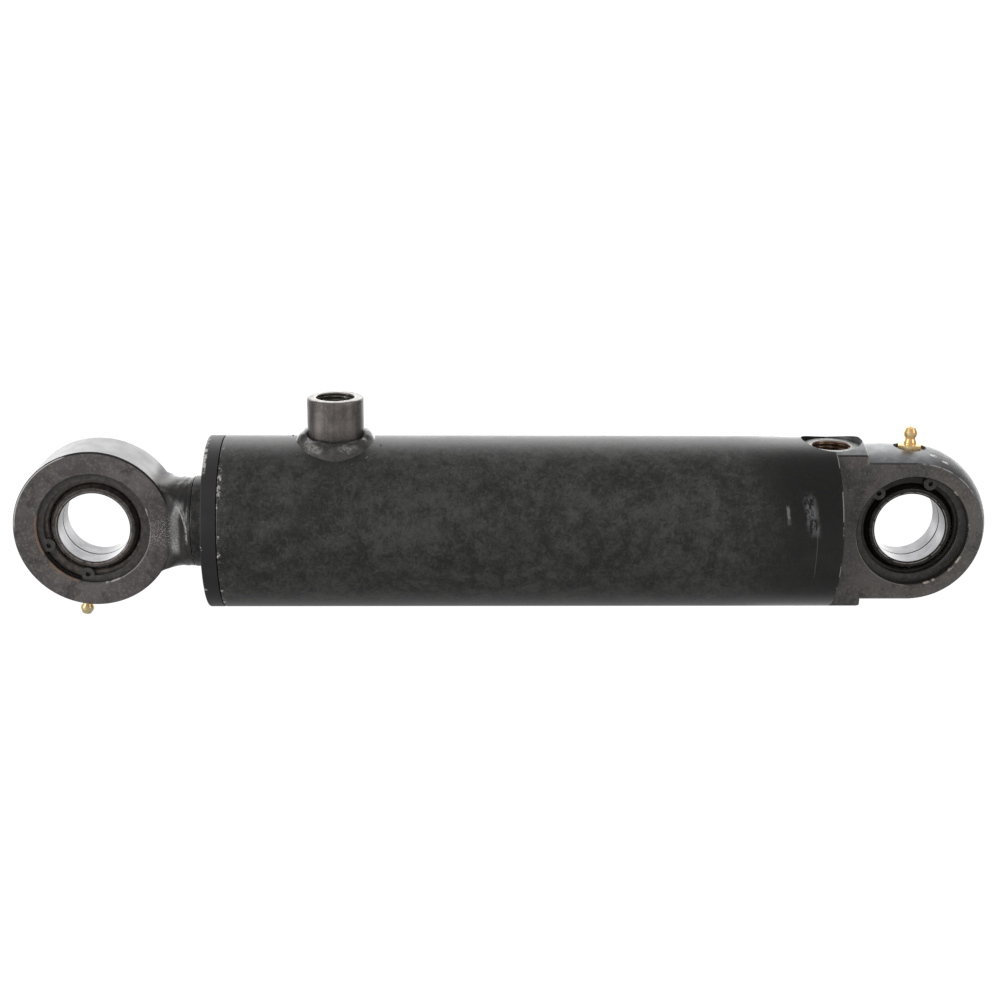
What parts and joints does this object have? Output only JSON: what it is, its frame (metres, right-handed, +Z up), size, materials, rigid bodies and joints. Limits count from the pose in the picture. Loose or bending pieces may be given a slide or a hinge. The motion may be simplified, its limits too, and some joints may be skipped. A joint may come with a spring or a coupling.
{
  "type": "hydraulic cylinder",
  "caption": "Welded double-acting hydraulic cylinder, retracted, with a spherical bearing and grease nipple in each eye and two threaded ports.",
  "frame": {"origin": "centre of the base-end pin bore, on the cylinder's axis", "axes": "+X along the cylinder from the rod end to the base end, so the rod extends towards -X; +Y along both pins; +Z up, the way both ports face"},
  "size_m": [0.48, 0.085, 0.1121],
  "materials": {
    "barrel_paint": "satin charcoal paint with fine dust and scuffs",
    "rod_eye_paint": "matt brown-grey primer, bare metal on knocked edges",
    "port_steel": "satin brown-grey steel, machined face and thread",
    "chrome_rod": "hard chrome, polished",
    "machined_steel": "turned steel",
    "bearing_steel": "ground bearing steel, brown-grey ring face, polished bore",
    "spring_steel": "oiled dark spring steel",
    "nipple_brass": "bright turned brass",
    "nitrile": "matt black rubber",
    "urethane": "blue polyurethane",
    "guide_plastic": "brown phenolic fabric"
  },
  "bodies": {
    "barrel": {"cylinder_tube": "barrel_paint", "base_eye": "barrel_paint", "rod_port_boss": "port_steel", "rod_port_weld": "barrel_paint", "base_port_boss": "port_steel", "gland": "barrel_paint", "gland_o_ring": "nitrile", "gland_backup_ring": "guide_plastic", "rod_seal": "urethane", "wiper_seal": "nitrile", "rod_guide_ring": "guide_plastic", "base_bearing_outer_race": "bearing_steel", "base_snap_ring_near": "spring_steel", "base_snap_ring_far": "spring_steel", "base_grease_nipple": "nipple_brass"},
    "piston_seals": {"piston_seal": "urethane", "piston_guide_ring_front": "guide_plastic", "piston_guide_ring_rear": "guide_plastic"},
    "rod": {"piston_rod": "chrome_rod", "rod_eye": "rod_eye_paint", "piston": "machined_steel", "piston_nut": "machined_steel", "piston_o_ring": "nitrile", "rod_bearing_outer_race": "bearing_steel", "rod_snap_ring_near": "spring_steel", "rod_snap_ring_far": "spring_steel", "rod_grease_nipple": "nipple_brass"},
    "rod_ring": {"rod_bearing_inner_ring": "bearing_steel"},
    "base_ring": {"base_bearing_inner_ring": "bearing_steel"}
  },
  "joints": [
    {"name": "rod_slide", "type": "slide", "parent": "barrel", "child": "piston_seals", "axis": [-1, 0, 0], "range_m": [0, 0.175]},
    {"name": "rod_turn", "type": "hinge", "parent": "piston_seals", "child": "rod", "pos_m": [-0.085, 0, 0], "axis": [1, 0, 0], "continuous": true},
    {"name": "rod_bearing_swivel", "type": "hinge", "parent": "rod", "child": "rod_ring", "pos_m": [-0.402, 0, 0], "axis": [0, 1, 0], "continuous": true},
    {"name": "base_bearing_swivel", "type": "hinge", "parent": "barrel", "child": "base_ring", "pos_m": [0, 0, 0], "axis": [0, 1, 0], "continuous": true}
  ]
}
